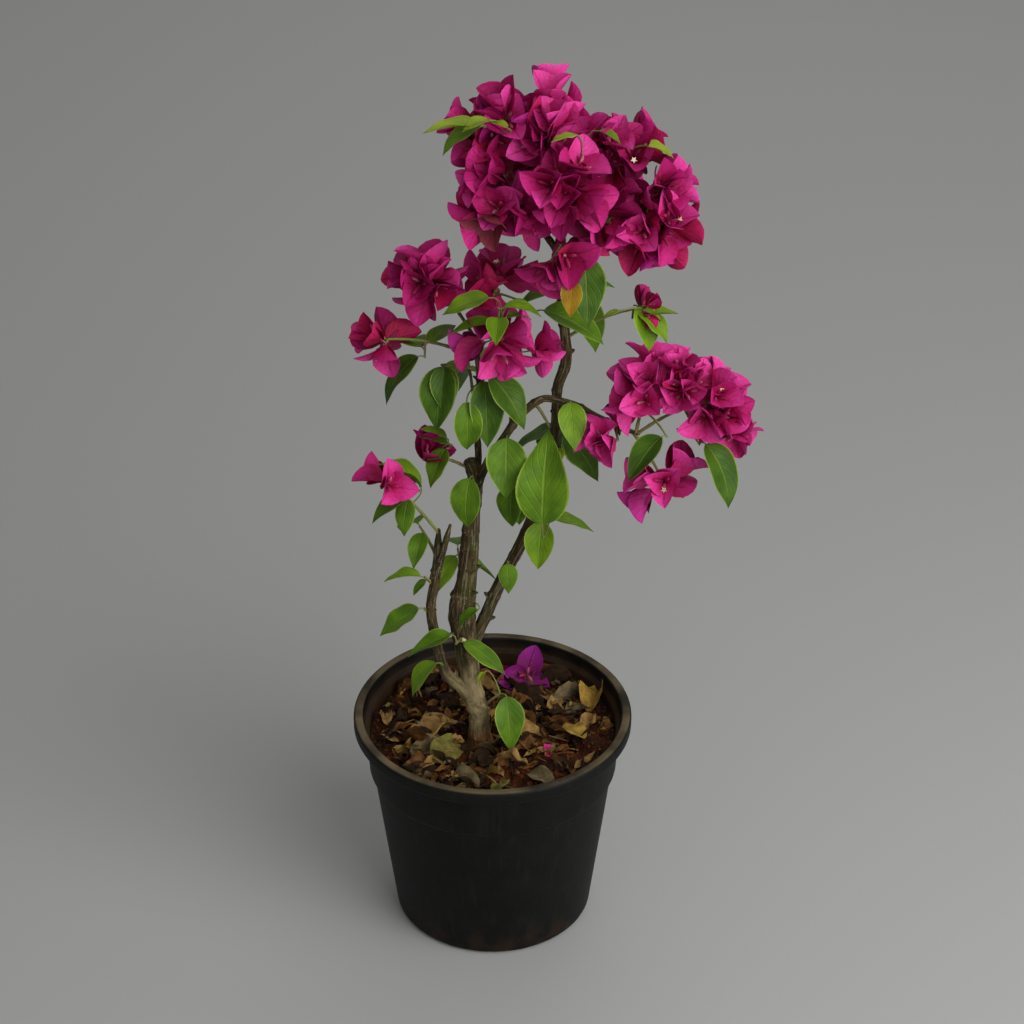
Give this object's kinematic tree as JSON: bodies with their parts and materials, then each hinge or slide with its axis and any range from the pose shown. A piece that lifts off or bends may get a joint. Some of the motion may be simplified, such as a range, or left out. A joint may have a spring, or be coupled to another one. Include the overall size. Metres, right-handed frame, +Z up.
{
  "type": "potted bougainvillea bush",
  "caption": "Small woody flowering shrub with arching stems, papery magenta bracts and green leaves, growing in a round tapered plastic nursery pot of soil.",
  "frame": {"origin": "centre of the pot's flat underside", "axes": "+Z up along the plant, +Y away from the side that the picture shows, +X to the right of that view"},
  "size_m": [0.3444, 0.25, 0.8143],
  "materials": {
    "pot": "matte",
    "soil": "matte",
    "bark": "matte",
    "blossom": "satin",
    "leaf": "satin"
  },
  "bodies": {
    "root": {"pot": "pot", "soil": "soil", "trunk": "bark", "stem_left": "bark", "stem_left_spur": "bark", "stem_right": "bark", "arch_inner": "bark", "arch_outer": "bark", "bough_inner": "bark", "bough_top_left": "bark", "bough_top_middle": "bark", "bough_top_right": "bark", "head_top_left": "blossom", "head_top": "blossom", "head_top_right": "blossom", "head_right": "blossom", "head_front": "blossom", "head_left": "blossom", "head_bottom": "blossom", "head_back": "blossom", "head_back_right": "blossom", "middle_left": "blossom", "middle_back": "blossom", "middle_front": "blossom", "middle_far_left": "blossom", "right_middle": "blossom", "right_outer": "blossom", "right_low": "blossom", "right_inner": "blossom", "buds_right": "blossom", "low_left": "blossom", "low_middle": "blossom", "leaves_low_left": "leaf", "leaves_low_front": "leaf", "leaves_foot_left": "leaf", "leaves_foot_right": "leaf", "leaves_left": "leaf", "leaf_trunk_front": "leaf", "leaves_inner_left": "leaf", "leaves_inner_right": "leaf", "leaf_arch": "leaf", "leaf_arch_bend": "leaf", "leaf_arch_end": "leaf", "leaves_right": "leaf", "leaves_right_inner": "leaf", "leaf_right_foot": "leaf", "leaves_back_left": "leaf", "leaves_back_low": "leaf", "leaves_back_inner": "leaf", "leaves_back_right": "leaf", "leaves_back_top": "leaf"}
  },
  "joints": []
}
